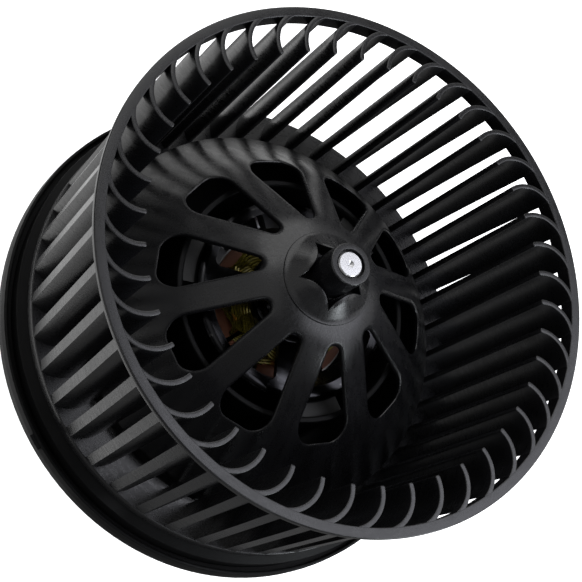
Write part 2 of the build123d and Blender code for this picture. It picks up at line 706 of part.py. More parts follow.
def lower_bearing_retainer():
    low = LOWER_BEARING_Z + BEARING_HALF + BEARING_GAP
    outer = NOSE_INNER - BEARING_GAP
    return tube(WASHER_RADIUS + RETAINER_INSET, outer, low, low + RETAINER_HEIGHT)


def end_bracket():
    """Steel plate that closes the case, with a skirt over the case and the lower bearing's nose."""
    plate_bottom = CASE_BOTTOM - CASE_WALL
    bracket = turned(
        (NOSE_INNER, CASE_BOTTOM),
        (CASE_RADIUS, CASE_BOTTOM),
        (CASE_RADIUS, BRACKET_SKIRT_TOP),
        (BRACKET_SKIRT_OUTER, BRACKET_SKIRT_TOP),
        (BRACKET_SKIRT_OUTER, plate_bottom, BRACKET_ROUNDING),
        (LOWER_NOSE_RADIUS, plate_bottom, LOWER_NOSE_ROUNDING),
        (LOWER_NOSE_RADIUS, LOWER_NOSE_BOTTOM, LOWER_NOSE_ROUNDING),
        (0, LOWER_NOSE_BOTTOM),
        (0, LOWER_NOSE_BOTTOM + LOWER_NOSE_FLOOR),
        (NOSE_INNER, LOWER_NOSE_BOTTOM + LOWER_NOSE_FLOOR),
    )
    bracket -= lead_holes(plate_bottom, CASE_BOTTOM)
    vent = Pos(BRACKET_VENT_CENTRE, 0) * disc(BRACKET_VENT_RADIUS, plate_bottom, CASE_BOTTOM)
    bracket -= at_azimuths(vent, BRACKET_VENT_AZIMUTHS)
    return bracket - bracket_screw_holes(BRACKET_SCREW_RADIUS + BRACKET_HOLE_GAP)


def bracket_screw_holes(radius):
    """Radial holes for the screws that fasten the bracket's skirt to the case."""
    hole = Pos(CASE_RADIUS, 0, BRACKET_SCREW_HEIGHT) * Rot(0, 90, 0) * Cylinder(radius, 4 * CASE_WALL)
    return at_azimuths(hole, BRACKET_SCREW_AZIMUTHS)


def lead_holes(low, high):
    return [Pos(LEAD_X, side * CHOKE_Y) * disc(LEAD_HOLE_RADIUS, low, high) for side in (-1, 1)]


def bracket_screws():
    head_start = BRACKET_SKIRT_OUTER + CASE_THREAD_GAP
    slot = extrude(Rectangle(*BRACKET_SCREW_SLOT), BRACKET_SCREW_SLOT_DEPTH)
    upright = disc(BRACKET_SCREW_HEAD, 0, BRACKET_SCREW_HEAD_HEIGHT)
    upright -= Pos(0, 0, BRACKET_SCREW_HEAD_HEIGHT - BRACKET_SCREW_SLOT_DEPTH) * slot
    upright += disc(BRACKET_SCREW_RADIUS, -BRACKET_SCREW_LENGTH, 0)
    screw = Pos(head_start, 0, BRACKET_SCREW_HEIGHT) * Rot(0, 90, 0) * upright
    return Compound(children=at_azimuths(screw, BRACKET_SCREW_AZIMUTHS))


# ---- Brush gear ----
def brush():
    """Carbon brush on the +X side, its inner end hollowed to the commutator's curve."""
    start = COMMUTATOR_RADIUS - BRUSH_HOLLOW
    low, high = BRUSH_Z - BRUSH_HEIGHT / 2, BRUSH_Z + BRUSH_HEIGHT / 2
    end = COMMUTATOR_RADIUS + BRUSH_GAP + BRUSH_LENGTH
    return block(start, end, BRUSH_WIDTH, low, high) - disc(COMMUTATOR_RADIUS + BRUSH_GAP, low, high)


def guide():
    """Brass brush box on the +X side, closed at the back, slotted on top for the pigtail."""
    width = BRUSH_WIDTH + 2 * GUIDE_CLEARANCE
    half = BRUSH_HEIGHT / 2 + GUIDE_CLEARANCE
    low, high = BRUSH_Z - half, BRUSH_Z + half
    outer = block(GUIDE_START, GUIDE_END, width + 2 * GUIDE_WALL, low - GUIDE_WALL, high + GUIDE_WALL)
    inner = block(GUIDE_START, GUIDE_END - GUIDE_WALL, width, low, high)
    return outer - inner - block(GUIDE_START, GUIDE_SLOT_END, GUIDE_SLOT_WIDTH, high, high + GUIDE_WALL)


def brush_spring():
    """Coil spring behind the brush on the +X side."""
    inset = SPRING_WIRE + SPRING_GAP
    start = COMMUTATOR_RADIUS + BRUSH_GAP + BRUSH_LENGTH + inset
    length = GUIDE_END - GUIDE_WALL - inset - start
    path = Helix(length / SPRING_TURNS, length, SPRING_RADIUS)
    coil = sweep(Plane(origin=path @ 0, z_dir=path % 0) * Circle(SPRING_WIRE), path=path, is_frenet=True)
    return Pos(start, 0, BRUSH_Z) * Rot(0, 90, 0) * coil


def brush_card():
    card = tube(CARD_HOLE, CARD_RADIUS, CARD_BOTTOM, CARD_TOP)
    return card - lead_holes(CARD_BOTTOM, CARD_TOP)


def brush_guides():
    return Compound(children=around(guide(), 2))


def pigtail_rise(side):
    """Points of a pigtail's way up from its brush and across to the choke on that side."""
    x = side * PIGTAIL_X
    top = BRUSH_Z + BRUSH_HEIGHT / 2 + PIGTAIL_GAP
    return [(x, 0, top), (x, 0, PIGTAIL_CROSSING), (x, side * CHOKE_Y, PIGTAIL_CROSSING)]


def brush_pigtail_right():
    end = (PIGTAIL_X, CHOKE_Y, choke_height() + CHOKE_COIL_RADIUS)
    return wire_run(pigtail_rise(1) + [end], PIGTAIL_BEND, PIGTAIL_RADIUS)


def brush_pigtail_left():
    level = choke_height()
    down = [(-PIGTAIL_X, -CHOKE_Y, level), (CHOKE_START, -CHOKE_Y, level)]
    return wire_run(pigtail_rise(-1) + down, PIGTAIL_BEND, PIGTAIL_RADIUS)


def choke_height():
    return CARD_TOP + CHOKE_COIL_RADIUS


def choke_rod(inner, outer, inset):
    """Round bar or sleeve along X on each side of the card."""
    rod = extrude(Circle(outer) - Circle(inner) if inner else Circle(outer), CHOKE_LENGTH - 2 * inset)
    rod = Pos(CHOKE_START + inset, CHOKE_Y, choke_height()) * Rot(0, 90, 0) * rod
    return Compound(children=[rod, mirror(rod, Plane.XZ)])


def choke_cores():
    return choke_rod(0, CHOKE_RADIUS, 0)


def choke_coils():
    return choke_rod(CHOKE_RADIUS, CHOKE_COIL_RADIUS, CHOKE_COIL_INSET)


def suppression_capacitor():
    """Disc-shaped suppression capacitor that stands on the brush card."""
    body = Rot(90, 0, 0) * Cylinder(CAPACITOR_RADIUS, CAPACITOR_THICKNESS)
    body = Pos(0, CAPACITOR_Y, CARD_TOP + CAPACITOR_RADIUS) * body
    return fillet(body.edges(), CAPACITOR_ROUNDING)


# ---- Connector and leads ----
def power_connector():
    """Two-way socket on the side of the cup, open towards +X."""
    plate = block(
        PAD_FACE,
        PAD_FACE + CONNECTOR_PLATE,
        CONNECTOR_FLANGE_WIDTH,
        CONNECTOR_Z - CONNECTOR_FLANGE_HEIGHT / 2,
        CONNECTOR_Z + CONNECTOR_FLANGE_HEIGHT / 2,
    )
    front = PAD_FACE + CONNECTOR_PLATE
    half = SHROUD_HEIGHT / 2
    shroud = block(front, front + SHROUD_LENGTH, SHROUD_WIDTH, CONNECTOR_Z - half, CONNECTOR_Z + half)
    shroud = fillet(shroud.edges().filter_by(Axis.X), SHROUD_ROUNDING)
    inner = half - SHROUD_WALL
    room = block(
        front,
        front + SHROUD_LENGTH,
        SHROUD_WIDTH - 2 * SHROUD_WALL,
        CONNECTOR_Z - inner,
        CONNECTOR_Z + inner,
    )
    latch_start = front + LATCH_START
    top = CONNECTOR_Z + half
    latch = block(latch_start, latch_start + LATCH_LENGTH, LATCH_WIDTH, top - JOIN, top + LATCH_HEIGHT)
    return plate + shroud + latch - room - tab_slots()


def tabs(clearance, start, end):
    """Two upright flat blades, or their slots when a clearance is given."""
    width = BLADE_TAB_THICKNESS + 2 * clearance
    half = BLADE_TAB_WIDTH / 2 + clearance
    low, high = CONNECTOR_Z - half, CONNECTOR_Z + half
    return [block(start, end, width, low, high, side * BLADE_TAB_PITCH / 2) for side in (-1, 1)]


def tab_slots():
    return tabs(BLADE_TAB_CLEARANCE, PAD_FACE, PAD_FACE + CONNECTOR_PLATE)


def connector_terminals():
    end = PAD_FACE + CONNECTOR_PLATE + SHROUD_LENGTH - BLADE_TAB_SETBACK
    return Compound(children=tabs(0.0, PAD_FACE - BLADE_TAB_TAIL, end))


def lead(side):
    """Insulated lead from a choke, down through the bracket and out to the connector."""
    y = side * CHOKE_Y
    end_y = side * BLADE_TAB_PITCH / 2
    points = [
        (CHOKE_START + CHOKE_LENGTH, y, choke_height()),
        (LEAD_X, y, choke_height()),
        (LEAD_X, y, CONNECTOR_Z - LEAD_SLOPE_START),
        (LEAD_SLOPE_X, end_y, CONNECTOR_Z),
        (PAD_FACE - BLADE_TAB_TAIL, end_y, CONNECTOR_Z),
    ]
    return wire_run(points, LEAD_BEND, LEAD_RADIUS)


# ---- Isolators ----
def side_isolators():
    """Rubber blocks that hold the case clear of the cup."""
    start = -ISOLATOR_SPAN / 2
    isolator = sector(CASE_RADIUS, CUP_INNER, start, ISOLATOR_SPAN, ISOLATOR_BOTTOM, ISOLATOR_TOP)
    return Compound(children=around(isolator, ISOLATOR_COUNT, ISOLATOR_AZIMUTH))


def lower_isolator():
    """Rubber collar between the lower bearing's nose and the end cap's socket."""
    high = CASE_BOTTOM - CASE_WALL - LOWER_NOSE_ROUNDING
    return tube(LOWER_NOSE_RADIUS, CAP_SOCKET_INNER, CUP_BOTTOM, high)


PARTS = {
    "blower_wheel": blower_wheel,
    "motor_shaft": motor_shaft,
    "armature_core": armature_core,
    "armature_insulators": armature_insulators,
    "armature_windings": armature_windings,
    "commutator_hub": commutator_hub,
    "commutator_bars": commutator_bars,
    "upper_spacer": upper_spacer,
    "upper_thrust_washer": upper_thrust_washer,
    "lower_thrust_washer": lower_thrust_washer,
    "motor_housing": motor_housing,
    "end_cap": end_cap,
    "end_cap_screws": end_cap_screws,
    "motor_case": motor_case,
    "field_magnets": field_magnets,
    "magnet_springs": magnet_springs,
    "upper_bearing": upper_bearing,
    "lower_bearing": lower_bearing,
    "upper_felt_washer": upper_felt_washer,
    "lower_felt_washer": lower_felt_washer,
    "upper_bearing_retainer": upper_bearing_retainer,
    "lower_bearing_retainer": lower_bearing_retainer,
    "end_bracket": end_bracket,
    "bracket_screws": bracket_screws,
    "brush_card": brush_card,
    "brush_guides": brush_guides,
    "brush_right": brush,
    "brush_left": lambda: Rot(0, 0, 180) * brush(),
    "brush_spring_right": brush_spring,
    "brush_spring_left": lambda: Rot(0, 0, 180) * brush_spring(),
    "brush_pigtail_right": brush_pigtail_right,
    "brush_pigtail_left": brush_pigtail_left,
    "choke_cores": choke_cores,
    "choke_coils": choke_coils,
    "suppression_capacitor": suppression_capacitor,
    "power_connector": power_connector,
    "connector_terminals": connector_terminals,
    "positive_lead": lambda: lead(1),
    "negative_lead": lambda: lead(-1),
    "side_isolators": side_isolators,
    "lower_isolator": lower_isolator,
}

os.makedirs("parts", exist_ok=True)
for name, build in PARTS.items():
    export_step(build(), f"parts/{name}.step")
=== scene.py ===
import json
from math import acos, atan2, ceil, cos, exp, pi, radians, sin, sqrt, tan

import bmesh
import bpy
from mathutils import Matrix, Vector


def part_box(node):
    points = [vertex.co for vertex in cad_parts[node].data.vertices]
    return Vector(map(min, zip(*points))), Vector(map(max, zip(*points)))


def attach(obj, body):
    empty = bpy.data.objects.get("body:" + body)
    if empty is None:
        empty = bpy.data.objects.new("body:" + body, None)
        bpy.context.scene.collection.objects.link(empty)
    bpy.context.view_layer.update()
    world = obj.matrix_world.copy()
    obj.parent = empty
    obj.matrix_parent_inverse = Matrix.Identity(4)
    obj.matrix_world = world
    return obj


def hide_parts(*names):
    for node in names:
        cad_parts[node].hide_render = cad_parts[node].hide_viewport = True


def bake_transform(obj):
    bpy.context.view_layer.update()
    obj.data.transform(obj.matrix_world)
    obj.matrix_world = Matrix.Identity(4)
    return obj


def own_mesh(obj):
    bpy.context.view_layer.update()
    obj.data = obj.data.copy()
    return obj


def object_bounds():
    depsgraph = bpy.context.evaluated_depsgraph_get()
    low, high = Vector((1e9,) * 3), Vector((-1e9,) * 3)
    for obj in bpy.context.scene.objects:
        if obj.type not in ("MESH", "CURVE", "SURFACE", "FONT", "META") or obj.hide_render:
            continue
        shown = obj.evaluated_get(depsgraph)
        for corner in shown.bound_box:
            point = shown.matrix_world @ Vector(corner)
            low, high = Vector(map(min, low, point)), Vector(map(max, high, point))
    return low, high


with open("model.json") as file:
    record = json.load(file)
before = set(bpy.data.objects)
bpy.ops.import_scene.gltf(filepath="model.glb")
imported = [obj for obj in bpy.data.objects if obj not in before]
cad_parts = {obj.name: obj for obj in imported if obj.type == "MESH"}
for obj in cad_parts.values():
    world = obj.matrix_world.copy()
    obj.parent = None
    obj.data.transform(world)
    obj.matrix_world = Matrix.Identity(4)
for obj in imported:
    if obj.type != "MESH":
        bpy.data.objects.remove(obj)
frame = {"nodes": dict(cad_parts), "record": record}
cad_box = [list(corner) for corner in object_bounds()]
NODES = frame["nodes"]
MM = 0.001


def node_box(node):
    """Lowest and highest corners of a CAD node, in millimetres."""
    return [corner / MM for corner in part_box(node)]


# ---- Sizes in millimetres, in the frame's own axes ----
WHEEL_LOW, WHEEL_HIGH = node_box("blower_wheel")
WHEEL_TOP = WHEEL_HIGH.z
WHEEL_BOTTOM = WHEEL_LOW.z

# Ring at the inlet
RING_EDGE, RING_DEPTH, RING_FOOT, RING_INNER = 1.6, 5.35, 77.9, 76.8

# Back plate and its lip
BACK_TOP, BACK_THICKNESS, BACK_RADIUS = 17.5, 2.0, 75.7
LIP_WIDTH = 1.6

# Blades: a thicker foot, a rounded tip near the shaft and an outer edge cut along the cage
BLADES, BLADE_FIRST, BLADE_TIP = 44, 2.075, 65.3
BLADE_THICKNESS, BLADE_FOOT_THICKNESS = 1.5, 2.2
BLADE_ARC, BLADE_CENTRE, BLADE_TOP_RADIUS = 10.4, 67.5, 77.05
BLADE_EDGE, BLADE_CUT = 0.24, 3.1
BLADE_NOSE_POWER, BLADE_SETBACK = 0.62, 0.1
BLADE_RISES = (0, 20, 40)
BLADE_STEPS, NOSE_STEPS = 16, 14

# Hub dome: a shallow hub, straight spokes and a steeper skirt down to the foot
CROWN, WALL = 66.4, 2.0
HUB_SLOPE, SPOKE_SLOPE, SKIRT_SLOPE = radians(16), radians(36.2), radians(50)
HUB_CORNER, HUB_HEIGHT, HUB_ROUNDING = 19.5, 65.55, 30.0
DOME_CORNER, DOME_ROUNDING = 45.0, 40.0
FOOT, SHOULDER = 63.0, 2.5
SKIRT_START = 27.1
FOOT_HEIGHT = CROWN - (FOOT - SKIRT_START) * tan(SKIRT_SLOPE)

# Windows in the dome, and the sectors that hold one each
WINDOWS, WINDOW_AZIMUTH = 10, 10.9
WINDOW_INNER, WINDOW_OUTER, WINDOW_APEX = 20.0, 45.8, 14.4
WINDOW_INNER_ROUNDING, WINDOW_OUTER_ROUNDING = 2.3, 5.0
WINDOW_MIDDLE = Vector((33.0, 0))
RIM = 0.9
SECTOR_INNER, SECTOR_OUTER = 14.6, 52.0
SECTOR_HALF = pi / WINDOWS
OUTER_STEPS, INNER_STEPS, SIDE_STEPS = 12, 4, 34

# Collar, star pocket and boss
COLLAR, COLLAR_STEP, COLLAR_SLOPE = 14.6, 0.25, radians(37.5)
BEAD_HEIGHT, BEAD_WIDTH = 0.3, 0.4
STAR_AZIMUTH, STAR_POINTS, LOBE, LOBE_CENTRE = 352.9, 5, 13.5, 20.7
STAR_EDGE, STAR_EDGE_CROWN, STAR_WALL_TOP = 0.45, 0.4, 0.6
STAR_FILLET, STAR_FILLET_RISE, STAR_FLOOR_INSET = 0.12, 0.2, 0.5
BOSS, BOSS_TOP, BOSS_BOTTOM = 6.6, 81.5, 58.7
BOSS_EDGE, BOSS_FIT = 0.55, 0.02
COUNTERBORE_GAP, COUNTERBORE_DEPTH = 0.6, 1.8
SHAFT = 4.0

# Armature coils: each runs through two slots, five slots apart
SLOTS, COIL_PITCH, TURNS = 12, 5, 9
WIRE = 0.42
SLOT_NEAR, SLOT_FAR, SLOT_SIDE = 13.2, 20.6, 1.0
CORE_LOW, CORE_HIGH = 9.2, 36.8
COIL_MIDDLE, COIL_MIDDLE_SPREAD, COIL_ARCH = 8.5, 6.4, 0.8
COIL_BULGE, BULGE_SHARE, BULGE_SPREAD = 1.5, 0.13, 0.08
COIL_SINK, COIL_DROP, COIL_WEAVE = 0.8, 3.6, 3.3
COIL_RISE_SHARE, COIL_FALL_SHARE = 0.1, 0.07
COIL_STEPS = 26

# Springs, chokes and pigtails
SPRING_WIRE, SPRING_TURNS = 0.35, 5
CHOKE_WIRE, CHOKE_CORE, CHOKE_PITCH = 0.42, 2.25, 2.1
PIGTAIL, PIGTAIL_BEND, PIGTAIL_GAP, PIGTAIL_LIFT = 0.7, 2.0, 0.35, 0.05
STRANDS, STRAND, STRAND_PITCH = 5, 0.27, 4.0
HELIX_STEPS, BEND_STEPS = 20, 12

# Meshes; the first side is a direction that no wire follows
FIRST_SIDE = Vector((0.31, 0.87, 0.39))
SHARP_EDGE = radians(38)
ROUND_STEPS, BOSS_STEPS = 360, 96
AXIS_RADIUS = 0.01
TINY = 1e-9


# ---- Mesh helpers ----
def rounded(corners, closed=True, turn=radians(10)):
    """Outline through (x, y, radius) corners, each rounded by an arc of its radius."""
    points = []
    for i, (x, y, radius) in enumerate(corners):
        here = Vector((x, y))
        if radius == 0 or (not closed and i in (0, len(corners) - 1)):
            points.append(here)
            continue
        back = (Vector(corners[i - 1][:2]) - here).normalized()
        ahead = (Vector(corners[(i + 1) % len(corners)][:2]) - here).normalized()
        half = back.angle(ahead) / 2
        centre = here + (back + ahead).normalized() * (radius / sin(half))
        start = here + back * (radius / tan(half)) - centre
        side = 1 if back.x * ahead.y - back.y * ahead.x < 0 else -1
        sweep = pi - 2 * half
        steps = max(2, ceil(sweep / turn))
        for k in range(steps + 1):
            a = side * sweep * k / steps
            spoke = Vector((start.x * cos(a) - start.y * sin(a), start.x * sin(a) + start.y * cos(a)))
            points.append(centre + spoke)
    return points


class Shape:
    """Vertices, in millimetres, faces and creased edges of one piece."""

    def __init__(self):
        self.points = []
        self.faces = []
        self.creases = []

    def rows(self, rows, over=False, creases=()):
        """Quads between closed rows of points; over also joins the last row to the first."""
        first = len(self.points)
        width = len(rows[0])
        for row in rows:
            self.points.extend(row)
        count = len(rows) if over else len(rows) - 1
        for i in range(count):
            a, b = first + i * width, first + (i + 1) % len(rows) * width
            for j in range(width):
                k = (j + 1) % width
                self.faces.append((a + j, a + k, b + k, b + j))
            self.creases += [(a + j, b + j) for j in creases]

    def turned(self, outline, azimuths, over=True):
        """Outline of (radius, height) points turned round Z through the given azimuths."""
        self.rows([[polar(p[0], a, p[1]) for a in azimuths] for p in outline], over=over)

    def wire(self, path, radius, sides=6, closed=False):
        """Round wire along a path of points, with flat ends unless it is closed."""
        count = len(path)
        rows = []
        for here, side, other in frames(path, closed):
            turn = full_turn(sides)
            rows.append([tuple(here + (side * cos(a) + other * sin(a)) * radius) for a in turn])
        first = len(self.points)
        self.rows(rows, over=closed)
        if not closed:
            self.faces.append(tuple(range(first, first + sides)))
            self.faces.append(tuple(range(first + (count - 1) * sides, first + count * sides)))

    def placed(self, other, matrix):
        """Adds another shape's copy, moved by a matrix."""
        first = len(self.points)
        self.points.extend(tuple(matrix @ Vector(p)) for p in other.points)
        self.faces.extend(tuple(first + v for v in face) for face in other.faces)
        self.creases.extend((first + a, first + b) for a, b in other.creases)

    def piece(self, name, slot, instead, body=None):
        """Makes the object, in its slot's finish, standing for the CAD nodes named in instead."""
        mesh = bpy.data.meshes.new(name)
        mesh.from_pydata([tuple(c * MM for c in p) for p in self.points], [], self.faces)
        work = bmesh.new()
        work.from_mesh(mesh)
        work.verts.ensure_lookup_table()
        for a, b in self.creases:
            work.edges.get((work.verts[a], work.verts[b])).smooth = False
        bmesh.ops.remove_doubles(work, verts=work.verts, dist=1e-6)
        bmesh.ops.recalc_face_normals(work, faces=work.faces)
        for face in work.faces:
            face.smooth = True
        for edge in work.edges:
            if len(edge.link_faces) == 2 and edge.calc_face_angle(0) > SHARP_EDGE:
                edge.smooth = False
        work.to_mesh(mesh)
        work.free()
        mesh.materials.append(FINISHES[slot])
        obj = bpy.data.objects.new(name, mesh)
        bpy.context.scene.collection.objects.link(obj)
        if body:
            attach(obj, body)
        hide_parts(*instead)
        return obj


def frames(path, closed=False):
    """Each point of a path with two directions across it, carried along without twist."""
    path = [Vector(p) for p in path]
    count = len(path)
    side = FIRST_SIDE
    found = []
    for i, here in enumerate(path):
        before = path[i - 1] if i or closed else here
        after = path[(i + 1) % count] if i < count - 1 or closed else here
        ahead = (after - before).normalized()
        side = (side - ahead * side.dot(ahead)).normalized()
        found.append((here, side, ahead.cross(side)))
    return found


def bent(corners, bend, gap):
    """Points at even gaps along straight runs joined by smooth bends."""
    corners = [Vector(c) for c in corners]
    path = [corners[0]]
    for a, corner, b in zip(corners, corners[1:], corners[2:]):
        start = corner + (a - corner).normalized() * bend
        end = corner + (b - corner).normalized() * bend
        for i in range(BEND_STEPS + 1):
            t = i / BEND_STEPS
            path.append(start.lerp(corner, t).lerp(corner.lerp(end, t), t))
    path.append(corners[-1])
    points = [path[0]]
    for point in path[1:]:
        last = points[-1]
        steps = max(1, round((point - last).length / gap))
        points += [last.lerp(point, (i + 1) / steps) for i in range(steps)]
    return points


def polar(radius, azimuth, height):
    """Point at a radius and azimuth round the shaft's axis."""
    return (radius * cos(azimuth), radius * sin(azimuth), height)


def full_turn(count, start=0.0):
    """Even angles all round."""
    return [start + 2 * pi * i / count for i in range(count)]


def turn_z(angle):
    """Turn about the shaft's axis."""
    return Matrix.Rotation(angle, 4, "Z")


def eased(share):
    """Share held within 0 and 1, which starts and ends gently."""
    share = max(0, min(1, share))
    return share * share * (3 - 2 * share)


# ---- Materials ----
def socket_name(key):
    """Shader socket's name from a keyword: base_color gives Base Color."""
    return key.replace("_", " ").title().replace("Ior", "IOR")


class Nodes:
    """Short way to build a material's node tree. Keywords set the shader's own sockets."""

    def __init__(self, name, **settings):
        self.material = bpy.data.materials.new(name)
        self.material.use_nodes = True
        self.tree = self.material.node_tree
        self.shader = self.tree.nodes["Principled BSDF"]
        for key, value in settings.items():
            self.shader.inputs[socket_name(key)].default_value = value

    def add(self, kind, inputs=None, **settings):
        """New node, whose inputs are linked from sockets or set to values."""
        node = self.tree.nodes.new(kind)
        for key, value in settings.items():
            setattr(node, key, value)
        for key, value in (inputs or {}).items():
            if isinstance(value, bpy.types.NodeSocket):
                self.tree.links.new(value, node.inputs[key])
            else:
                node.inputs[key].default_value = value
        return node

    def place(self):
        """Coordinates that stay with the piece."""
        return self.add("ShaderNodeTexCoord").outputs["Object"]

    def turned_place(self, spread):
        """Coordinates that run slowly round the shaft axis and fast outwards, for turned marks."""
        x, y, z = self.add("ShaderNodeSeparateXYZ", {"Vector": self.place()}).outputs
        flat = self.add("ShaderNodeCombineXYZ", {"X": x, "Y": y}).outputs[0]
        aim = self.vector_math("NORMALIZE", {0: flat})
        aim = self.vector_math("SCALE", {0: aim, "Scale": spread})
        reach = self.vector_math("LENGTH", {0: flat}, "Value")
        reach = self.add("ShaderNodeCombineXYZ", {"Z": self.math("ADD", reach, z)}).outputs[0]
        return self.vector_math("ADD", {0: aim, 1: reach})

    def vector_math(self, operation, inputs, result="Vector"):
        return self.add("ShaderNodeVectorMath", inputs, operation=operation).outputs[result]

    def noise(self, scale, detail, vector):
        """Noise from 0 to 1, finer with a larger scale."""
        wanted = {"Vector": vector, "Scale": scale, "Detail": detail}
        return self.add("ShaderNodeTexNoise", wanted).outputs["Fac"]

    def between(self, value, low, high, from_low=0.3, from_high=0.7):
        """Value brought from one range to another."""
        wanted = {"Value": value, "To Min": low, "To Max": high}
        wanted.update({"From Min": from_low, "From Max": from_high})
        return self.add("ShaderNodeMapRange", wanted).outputs["Result"]

    def mixed(self, factor, low, high):
        """Colour between two others, each a socket or a fixed colour."""
        node = self.add("ShaderNodeMix", data_type="RGBA")
        self.tree.links.new(factor, node.inputs["Factor"])
        for socket, colour in ((node.inputs[6], low), (node.inputs[7], high)):
            if isinstance(colour, bpy.types.NodeSocket):
                self.tree.links.new(colour, socket)
            else:
                socket.default_value = (*colour, 1)
        return node.outputs[2]

    def math(self, operation, a, b):
        return self.add("ShaderNodeMath", {0: a, 1: b}, operation=operation).outputs[0]

    def bump(self, height, distance):
        """Normal of a relief whose depth is the distance, in metres."""
        wanted = {"Height": height, "Distance": distance, "Strength": 1.0}
        return self.add("ShaderNodeBump", wanted).outputs["Normal"]

    def set(self, **links):
        """Links sockets into the shader."""
        for key, value in links.items():
            self.tree.links.new(value, self.shader.inputs[socket_name(key)])


CLOUD_SCALE, GLOSS_SCALE, SWIRL_SCALE = 90, 30, 1100
GRAIN_SHADE, GRAIN_MIX = 0.6, 0.35
WORN_GAIN, WORN_LIFT, WORN_SHARE = 1.5, 0.01, 0.5
WORN_START, WORN_END = 0.53, 0.62
GRAIN_GLOSS, SWIRL_GLOSS = (-0.04, 0.07), (-0.03, 0.06)
SPECK_SOFTNESS = 0.06
FINISHES = {}


def finish(
    name, low, high, rough, grain, bump, stretch=(1, 1, 1), turned=0, swirl=0, speck=None, **shader
):
    """Makes a finish with clouded colour and gloss, a fine grain in its relief and paler worn edges.

    Low and high are the darkest and palest colour, rough is the range of roughness, grain is the
    grain's fineness and bump its depth in metres. Stretch draws the grain out along an axis, turned
    draws it round the shaft, and swirl adds turned marks to the gloss alone. Speck is a tint, its
    fineness and the share of the noise above which it shows.
    """
    m = Nodes(name, **shader)
    place = m.place()
    if turned:
        along = m.turned_place(turned)
    else:
        along = m.add("ShaderNodeMapping", {"Vector": place, "Scale": stretch}).outputs[0]
    fine = m.noise(grain, 3.0, along)
    colour = m.mixed(m.between(m.noise(CLOUD_SCALE, 4.0, place), 0, 1), low, high)
    colour = m.mixed(m.between(fine, 0, GRAIN_MIX), colour, tuple(GRAIN_SHADE * c for c in low))
    if speck:
        tint, scale, start = speck
        share = m.between(m.noise(scale, 1.0, place), 0, 1, start, start + SPECK_SOFTNESS)
        colour = m.mixed(share, colour, tint)
    edge = m.add("ShaderNodeNewGeometry").outputs["Pointiness"]
    worn = tuple(min(1.0, WORN_GAIN * c + WORN_LIFT) for c in high)
    colour = m.mixed(m.between(edge, 0, WORN_SHARE, WORN_START, WORN_END), colour, worn)
    gloss = m.between(m.noise(GLOSS_SCALE, 3.0, place), *rough)
    gloss = m.math("ADD", gloss, m.between(fine, *GRAIN_GLOSS))
    if swirl:
        marks = m.noise(SWIRL_SCALE, 2.0, m.turned_place(swirl))
        gloss = m.math("ADD", gloss, m.between(marks, *SWIRL_GLOSS))
    m.set(base_color=colour, roughness=gloss, normal=m.bump(fine, bump))
    FINISHES[name] = m.material


finish(
    "wheel_plastic", (0.005, 0.005, 0.0056), (0.009, 0.009, 0.0104), (0.21, 0.31), 2600, 0.000005,
    swirl=0.02,
)
finish(
    "housing_plastic", (0.003, 0.003, 0.0031), (0.006, 0.006, 0.0064), (0.4, 0.52), 2600, 0.00003,
    specular_ior_level=0.1,
)
finish(
    "connector_plastic", (0.006, 0.006, 0.007), (0.011, 0.011, 0.012), (0.3, 0.45), 3000, 0.00002
)
# Zinc-plated steel is pale; this near-black colour is painted shade for the motor case, which sits
# deep inside the hub where little light reaches.
finish(
    "zinc_plated_steel", (0.015, 0.015, 0.016), (0.04, 0.04, 0.043), (0.14, 0.26), 900, 0.000012,
    turned=0.004, speck=((0.12, 0.12, 0.12), 420, 0.68), metallic=1.0,
)
finish(
    "screw_steel", (0.4, 0.4, 0.4), (0.66, 0.65, 0.62), (0.25, 0.4), 2200, 0.00001, metallic=1.0
)
finish(
    "shaft_steel", (0.6, 0.6, 0.61), (0.78, 0.78, 0.79), (0.2, 0.32), 2600, 0.000004,
    turned=0.003, metallic=1.0,
)
finish(
    "lamination_steel", (0.1, 0.1, 0.11), (0.26, 0.25, 0.24), (0.35, 0.5), 2000, 0.00004,
    stretch=(0.02, 0.02, 1), speck=((0.12, 0.05, 0.02), 260, 0.66), metallic=1.0,
)
finish(
    "fibre_board", (0.06, 0.017, 0.005), (0.12, 0.033, 0.009), (0.5, 0.7), 1800, 0.00004,
    stretch=(1, 1, 0.1),
)
finish(
    "enamelled_copper", (0.08, 0.065, 0.006), (0.24, 0.2, 0.018), (0.2, 0.36), 700, 0.00002,
    speck=((0.5, 0.15, 0.03), 190, 0.62), metallic=0.55, coat_weight=0.6, coat_roughness=0.18,
)
finish(
    "copper", (0.5, 0.2, 0.1), (0.8, 0.42, 0.26), (0.25, 0.4), 2400, 0.00002,
    stretch=(1, 1, 0.06), speck=((0.13, 0.05, 0.025), 500, 0.66), metallic=1.0,
)
finish(
    "phenolic", (0.045, 0.022, 0.012), (0.09, 0.045, 0.022), (0.35, 0.5), 2200, 0.00003
)
finish(
    "natural_nylon", (0.6, 0.56, 0.46), (0.76, 0.73, 0.64), (0.35, 0.5), 1600, 0.00002,
    subsurface_weight=0.15, subsurface_scale=0.001,
)
finish(
    "ferrite", (0.03, 0.03, 0.032), (0.075, 0.075, 0.08), (0.45, 0.65), 2600, 0.00006,
    speck=((0.16, 0.16, 0.17), 1600, 0.66), metallic=0.4,
)
finish(
    "spring_steel", (0.4, 0.4, 0.42), (0.62, 0.62, 0.64), (0.2, 0.35), 1800, 0.00001, metallic=1.0
)
finish(
    "sintered_bronze", (0.36, 0.22, 0.09), (0.56, 0.38, 0.18), (0.35, 0.55), 3200, 0.00008,
    speck=((0.06, 0.035, 0.015), 3600, 0.62), metallic=1.0,
)
finish(
    "felt", (0.3, 0.25, 0.15), (0.5, 0.43, 0.29), (0.85, 0.95), 2400, 0.0003, sheen_weight=0.4
)
